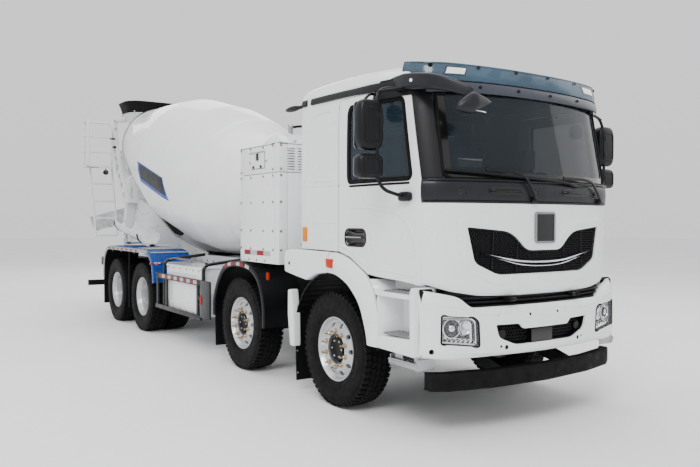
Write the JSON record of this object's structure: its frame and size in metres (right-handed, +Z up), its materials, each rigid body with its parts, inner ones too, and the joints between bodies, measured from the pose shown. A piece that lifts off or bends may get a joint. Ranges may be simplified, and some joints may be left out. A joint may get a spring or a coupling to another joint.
{
  "type": "concrete mixer truck",
  "caption": "Four-axle electric concrete mixer truck with a hollow tilting cab, an open inclined drum, a charging hopper, a swinging discharge chute and twin rear wheels.",
  "frame": {"origin": "on the ground under the middle of the overall box", "axes": "+Y to the rear along the truck, which drives towards -Y; +X to its left side; +Z up"},
  "size_m": [3.2, 11.6516, 4.04],
  "materials": {
    "white_paint": "gloss white paint",
    "chassis_black": "satin black chassis paint",
    "tyre": "black tread rubber",
    "rim_silver": "silver wheel paint",
    "motor_grey": "grey cast housing",
    "window_glass": "tinted window glass",
    "visor_tint": "blue tinted visor",
    "black_plastic": "grained black plastic",
    "seat_fabric": "dark woven seat fabric",
    "blue_plastic": "blue moulded plastic",
    "chute_grey": "worn grey steel chute",
    "bright_chrome": "chrome trim",
    "lens_clear": "clear lamp lens",
    "lens_amber": "amber lens",
    "lens_red": "red lens and reflector",
    "step_aluminium": "punched aluminium treads",
    "mirror_glass": "mirror glass",
    "stud_steel": "bronze-tinted zinc bolts",
    "skirt_rubber": "black rubber skirts and flaps"
  },
  "bodies": {
    "chassis": {"axle_1_beam": "chassis_black", "axle_2_beam": "chassis_black", "rear_bogie": "chassis_black", "chassis_frame": "chassis_black", "traction_motor": "motor_grey", "bumper": "white_paint", "front_fender_right": "white_paint", "front_fender_left": "white_paint", "axle_2_mudguard_right": "black_plastic", "axle_2_mudguard_left": "black_plastic", "battery_cabinet": "white_paint", "water_tank": "white_paint", "side_box_right": "white_paint", "side_box_left": "white_paint", "rear_mudguard_right": "blue_plastic", "rear_mudguard_left": "blue_plastic", "mixer_frame": "white_paint", "charging_hopper": "white_paint", "discharge_funnel": "white_paint", "extension_chute": "white_paint", "ladder": "white_paint"},
    "cab": {"cab_floor": "black_plastic", "cab_roof": "white_paint", "cab_rear_wall": "white_paint", "cab_side_right": "white_paint", "cab_side_left": "white_paint", "windscreen": "window_glass", "sun_visor": "visor_tint", "seats": "seat_fabric", "dashboard": "black_plastic"},
    "front_flap": {"front_flap": "white_paint"},
    "drum": {"drum": "white_paint"},
    "chute_swivel": {"chute_swivel": "white_paint"},
    "main_chute": {"main_chute": "chute_grey"},
    "door_right": {"door_right": "white_paint", "door_glass_right": "window_glass", "door_mirror_right": "black_plastic"},
    "knuckle_1_right": {"axle_1_knuckle_right": "chassis_black"},
    "wheel_1_right": {"axle_1_tyre_right": "tyre", "axle_1_rim_right": "rim_silver"},
    "knuckle_2_right": {"axle_2_knuckle_right": "chassis_black"},
    "wheel_2_right": {"axle_2_tyre_right": "tyre", "axle_2_rim_right": "rim_silver"},
    "wheel_3_right": {"axle_3_twin_tyres_right": "tyre", "axle_3_twin_rims_right": "rim_silver"},
    "wheel_4_right": {"axle_4_twin_tyres_right": "tyre", "axle_4_twin_rims_right": "rim_silver"},
    "door_left": {"door_left": "white_paint", "door_glass_left": "window_glass", "door_mirror_left": "black_plastic"},
    "knuckle_1_left": {"axle_1_knuckle_left": "chassis_black"},
    "wheel_1_left": {"axle_1_tyre_left": "tyre", "axle_1_rim_left": "rim_silver"},
    "knuckle_2_left": {"axle_2_knuckle_left": "chassis_black"},
    "wheel_2_left": {"axle_2_tyre_left": "tyre", "axle_2_rim_left": "rim_silver"},
    "wheel_3_left": {"axle_3_twin_tyres_left": "tyre", "axle_3_twin_rims_left": "rim_silver"},
    "wheel_4_left": {"axle_4_twin_tyres_left": "tyre", "axle_4_twin_rims_left": "rim_silver"}
  },
  "joints": [
    {"name": "steer_1_right", "type": "hinge", "parent": "chassis", "child": "knuckle_1_right", "pos_m": [-0.86, -4.3258, 0.535], "axis": [0, 0, 1], "range_deg": [-35, 35]},
    {"name": "spin_1_right", "type": "hinge", "parent": "knuckle_1_right", "child": "wheel_1_right", "pos_m": [-1.045, -4.3258, 0.535], "axis": [1, 0, 0], "continuous": true},
    {"name": "steer_1_left", "type": "hinge", "parent": "chassis", "child": "knuckle_1_left", "pos_m": [0.86, -4.3258, 0.535], "axis": [0, 0, 1], "range_deg": [-35, 35]},
    {"name": "spin_1_left", "type": "hinge", "parent": "knuckle_1_left", "child": "wheel_1_left", "pos_m": [1.045, -4.3258, 0.535], "axis": [1, 0, 0], "continuous": true},
    {"name": "steer_2_right", "type": "hinge", "parent": "chassis", "child": "knuckle_2_right", "pos_m": [-0.86, -2.3258, 0.535], "axis": [0, 0, 1], "range_deg": [-21, 21]},
    {"name": "spin_2_right", "type": "hinge", "parent": "knuckle_2_right", "child": "wheel_2_right", "pos_m": [-1.045, -2.3258, 0.535], "axis": [1, 0, 0], "continuous": true},
    {"name": "steer_2_left", "type": "hinge", "parent": "chassis", "child": "knuckle_2_left", "pos_m": [0.86, -2.3258, 0.535], "axis": [0, 0, 1], "range_deg": [-21, 21]},
    {"name": "spin_2_left", "type": "hinge", "parent": "knuckle_2_left", "child": "wheel_2_left", "pos_m": [1.045, -2.3258, 0.535], "axis": [1, 0, 0], "continuous": true},
    {"name": "spin_3_right", "type": "hinge", "parent": "chassis", "child": "wheel_3_right", "pos_m": [-0.924, 1.1442, 0.535], "axis": [1, 0, 0], "continuous": true},
    {"name": "spin_3_left", "type": "hinge", "parent": "chassis", "child": "wheel_3_left", "pos_m": [0.924, 1.1442, 0.535], "axis": [1, 0, 0], "continuous": true},
    {"name": "spin_4_right", "type": "hinge", "parent": "chassis", "child": "wheel_4_right", "pos_m": [-0.924, 2.4942, 0.535], "axis": [1, 0, 0], "continuous": true},
    {"name": "spin_4_left", "type": "hinge", "parent": "chassis", "child": "wheel_4_left", "pos_m": [0.924, 2.4942, 0.535], "axis": [1, 0, 0], "continuous": true},
    {"name": "cab_tilt", "type": "hinge", "parent": "chassis", "child": "cab", "pos_m": [0, -5.7958, 1.088], "axis": [1, 0, 0], "range_deg": [0, 50]},
    {"name": "door_right_hinge", "type": "hinge", "parent": "cab", "child": "door_right", "pos_m": [-1.146, -5.5188, 1.6], "axis": [0, 0, 1], "range_deg": [0, 70]},
    {"name": "door_left_hinge", "type": "hinge", "parent": "cab", "child": "door_left", "pos_m": [1.146, -5.5188, 1.6], "axis": [0, 0, -1], "range_deg": [0, 70]},
    {"name": "flap_hinge", "type": "hinge", "parent": "cab", "child": "front_flap", "pos_m": [0, -5.7928, 1.876], "axis": [-1, 0, 0], "range_deg": [0, 60]},
    {"name": "drum_spin", "type": "hinge", "parent": "chassis", "child": "drum", "pos_m": [0, 1.1582, 2.536], "axis": [0, 0.9728, 0.2318], "continuous": true},
    {"name": "chute_swing", "type": "hinge", "parent": "chassis", "child": "chute_swivel", "pos_m": [0, 4.9542, 1.2], "axis": [0, 0, 1], "range_deg": [-123, 27]},
    {"name": "chute_tilt", "type": "hinge", "parent": "chute_swivel", "child": "main_chute", "pos_m": [0, 4.9542, 1.705], "axis": [-0.6691, -0.7431, 0], "range_deg": [-10, 15]}
  ],
  "couplings": [
    {"joint": "steer_1_left", "follows": "steer_1_right", "ratio": 1},
    {"joint": "steer_2_right", "follows": "steer_1_right", "ratio": 0.6},
    {"joint": "steer_2_left", "follows": "steer_1_right", "ratio": 0.6}
  ]
}
